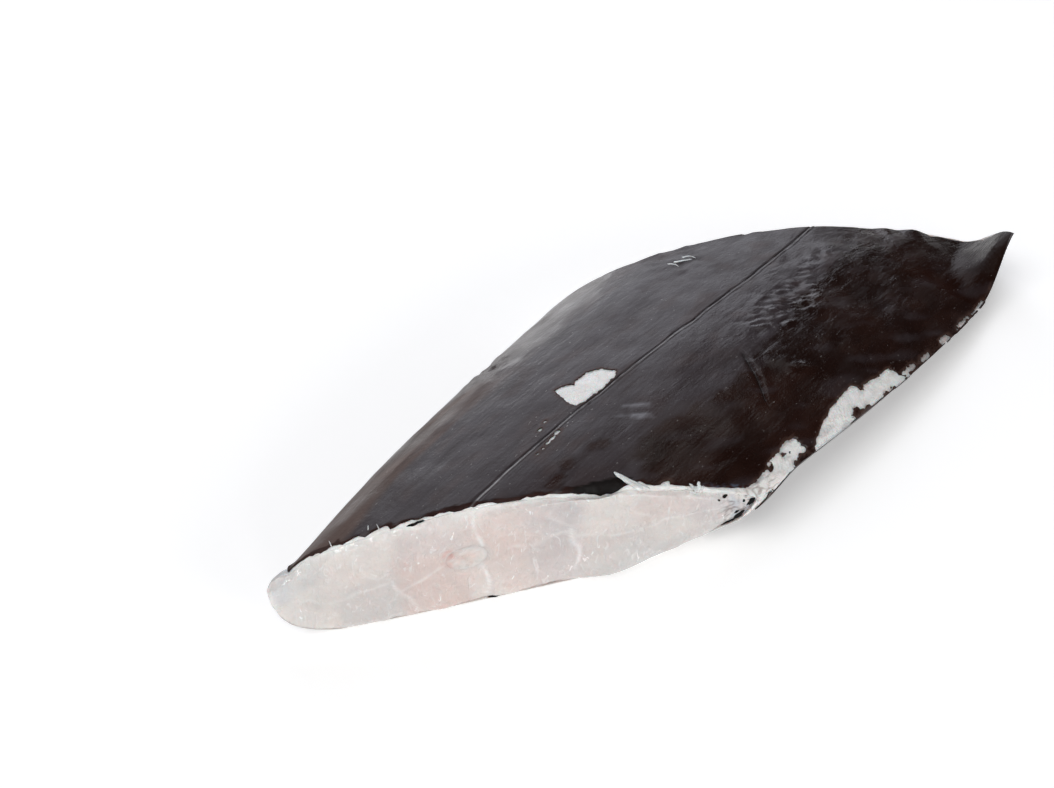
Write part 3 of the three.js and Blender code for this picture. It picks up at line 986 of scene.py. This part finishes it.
# bits of skin left on the cut: middle in millimetres, half length, half height, slope
BITS = (
    (-102.3, 12.1, 30.6, 3, 0.55, 0.3), (-86, -1.5, 1.2, 1.6, 0.5, -0.1),
    (-30.8, -37.2, 17.4, 0.9, 0.75, 0.2), (-32.3, -36.1, 17.2, 0.4, 0.25, 0),
    (-25.9, -40.4, 14.3, 0.4, 0.5, 0.2), (-27.9, -39.6, 11, 0.8, 0.5, 0.3),
    (-27.4, -39.9, 9.2, 1.8, 1, 0.5), (-29.9, -38.4, 7.8, 1.7, 0.5, 0.4),
    (-24, -41.6, 13, 1.3, 1.1, 0.5),
)


def build_strands(material):
    bm = bmesh.new()
    for number, (root, *path) in enumerate(STRANDS):
        a, b, c = (np.array(point) for point in path)
        made = bmesh.ops.create_uvsphere(bm, u_segments=10, v_segments=18, radius=1)
        for vert in made["verts"]:
            u = (vert.co.z + 1) / 2
            spot = (1 - u) ** 2 * a + 2 * u * (1 - u) * b + u * u * c
            along = Vector((2 * (1 - u) * (b - a) + 2 * u * (c - b)).tolist()).normalized()
            beside = along.cross(Vector((0, 0, 1))).normalized()
            ring = math.hypot(vert.co.x, vert.co.y)
            turn = math.atan2(vert.co.y, vert.co.x)
            thick = root * (1 - 0.55 * u) * min(1, ring * 1.6)
            thick *= 1 + 0.5 * noise.noise((number * 7, u * 5, turn))
            offset = beside * math.cos(turn) * thick + along.cross(beside) * math.sin(turn) * thick * 0.4
            vert.co = (Vector(spot.tolist()) + offset) * MM
    face_out(bm)
    count = len(bm.verts)
    painted(bm, tint=np.tile([0, 0, 1, 0], (count, 1)), stain=np.zeros((count, 4)))
    piece("film_strands", bm, material)


def build_bits(material, flesh):
    bm = bmesh.new()
    out = Vector((-0.62, -0.78, 0.06)).normalized()
    beside = Vector((0.78, -0.62, 0)).normalized()
    for number, (x, y, z, long, tall, slope) in enumerate(BITS):
        start = (Vector((x, y, z)) + out * 9) * MM
        found, hit, _, _ = flesh.ray_cast(start, -out)
        middle = hit / MM if found else Vector((x, y, z))
        made = bmesh.ops.create_uvsphere(bm, u_segments=20, v_segments=10, radius=1)
        for vert in made["verts"]:
            turn = math.atan2(vert.co.y, vert.co.x)
            jag = 1 + 0.45 * noise.noise((number * 5, 2 * math.cos(turn), 2 * math.sin(turn)))
            run, up = vert.co.x * long * jag, vert.co.y * tall * jag
            up += slope * run + 0.3 * noise.noise((number * 3, run, 0))
            vert.co = (middle + beside * run + Vector((0, 0, up)) + out * (0.3 * vert.co.z)) * MM
    face_out(bm)
    piece("skin_bits", bm, material)


# Backbone


def build_backbone(material):
    profile = [(i / 14, 0) for i in range(15)] + [(1, i / 10) for i in range(1, 10)]
    profile += [(1 - i / 14, 1) for i in range(15)]
    bm = turned(profile, 64)
    k, turn, t = drum_places(bm, np.ones_like)
    s, across, z = rod(turn, t, BONE_RADIUS * k)
    points = place(s, t, across, z)
    tint = np.zeros((len(k), 4))
    for end in (0, 1):
        cut = t == end
        dish = 0.15 * hump(k[cut], 0.8, 0.16) - 0.35 * (1 - ease(k[cut], 0.1, 0.7))
        dish += 0.3 * ripple(points[cut], 1.6, 2)
        dish = dish * ease(1 - k[cut], 0.06, 0.25) - 0.3 * ease(k[cut], 0.94, 1)
        points[cut] += dish[:, None] * out_of_cut(s[cut], t[cut])
        patchy = 0.6 + 0.5 * ripple(points[cut], 2, 4.4)
        tint[cut, 0] = 0.12 * patchy * hump(k[cut], 0.8, 0.2)
        tint[cut, 1] = 0.6 * patchy * (1 - ease(k[cut], 0.1, 0.7))
        tint[cut, 3] = 0.7 * patchy * hump(k[cut], 0.85, 0.3) * hump(np.cos(turn[cut]), 1, 0.35)
    set_places(bm, points)
    face_out(bm)
    painted(bm, tint=tint)
    made = piece("backbone_end", bm, material)
    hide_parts("backbone")


# Stage, in metres


def floor_finish():
    plain = Finish("pale_floor")
    plain.set(Base_Color=FLOOR_WHITE, Roughness=0.8)
    plain.set(Emission_Color=(1, 1, 1), Emission_Strength=0.34)
    return plain.material


def build_floor():
    bm = bmesh.new()
    bmesh.ops.create_grid(bm, x_segments=1, y_segments=1, size=4)
    mesh = bpy.data.meshes.new("floor")
    bm.to_mesh(mesh)
    bm.free()
    mesh.materials.append(floor_finish())
    floor = bpy.data.objects.new("floor", mesh)
    bpy.context.scene.collection.objects.link(floor)


TURN, RISE, AWAY = math.radians(52.603), math.radians(38.5), 0.70688
TARGET = Vector((-0.02665, 0.03272, 0.016))
RIGHT = Vector((math.cos(TURN), -math.sin(TURN), 0))
GROUND = Vector((math.sin(TURN), math.cos(TURN), 0))
VIEW = GROUND * math.cos(RISE) - Vector((0, 0, 1)) * math.sin(RISE)


def build_camera():
    data = bpy.data.cameras.new("camera")
    data.lens, data.sensor_width, data.sensor_fit = 85, 36, "HORIZONTAL"
    data.clip_start = 0.01
    camera = bpy.data.objects.new("camera", data)
    upright = RIGHT.cross(VIEW)
    basis = Matrix((RIGHT, upright, -VIEW)).transposed().to_4x4()
    camera.matrix_world = Matrix.Translation(TARGET - VIEW * AWAY) @ basis
    bpy.context.scene.collection.objects.link(camera)
    bpy.context.scene.camera = camera


def softbox(name, right, ground, height, width, tall, power, colour=(1, 1, 1)):
    """A soft light placed as the camera sees it: to its right, beyond the steak, and above the floor."""
    data = bpy.data.lights.new(name, "AREA")
    data.shape, data.size, data.size_y = "RECTANGLE", width, tall
    data.energy, data.color = power, colour
    light = bpy.data.objects.new(name, data)
    spot = RIGHT * right + GROUND * ground + Vector((0, 0, height))
    aim = (Vector((0, 0, 0.02)) - spot).to_track_quat("-Z", "Y").to_matrix().to_4x4()
    light.matrix_world = Matrix.Translation(spot) @ aim
    bpy.context.scene.collection.objects.link(light)


def build_lights():
    softbox("back_box", -0.06, 0.95, 0.66, 0.86, 1.25, 5.5, (0.95, 0.97, 1.06))
    softbox("top_box", -0.45, -0.45, 1.2, 1.3, 1.1, 9.5)
    softbox("front_box", -0.35, -1.2, 0.5, 1.2, 0.8, 1.3)
    softbox("side_box", 0.85, -0.8, 0.42, 0.8, 0.6, 4.6)
    softbox("front_glint", 0.1, -1.1, 0.35, 0.15, 0.15, 0.9)
    softbox("low_strip", -0.24, 0.6, 0.09, 0.34, 0.16, 0.55)
    softbox("right_glint", 0.56, 0.51, 0.92, 0.35, 0.25, 0.28)
    world = bpy.data.worlds.new("studio")
    world.use_nodes = True
    world.node_tree.nodes["Background"].inputs["Color"].default_value = (1, 1, 1, 1)
    world.node_tree.nodes["Background"].inputs["Strength"].default_value = 0.03
    bpy.context.scene.world = world
    view = bpy.context.scene.view_settings
    view.view_transform, view.look = "Standard", "None"


wet_flesh = flesh_finish()
black_skin = skin_finish("black_skin", 0.5, 0.16)
# a shaded copy of the skin with less shine and no coat: painted shade on the far belly corner's reflection
shaded_skin = skin_finish("shaded_skin", 0.15, 0)
skin_edge = edge_finish()
gristle = bone_finish()

flesh = build_flesh(wet_flesh)
build_skin(shaded_skin, black_skin, skin_edge)
build_strands(wet_flesh)
build_bits(skin_edge, flesh)
build_backbone(gristle)
build_floor()
build_camera()
build_lights()
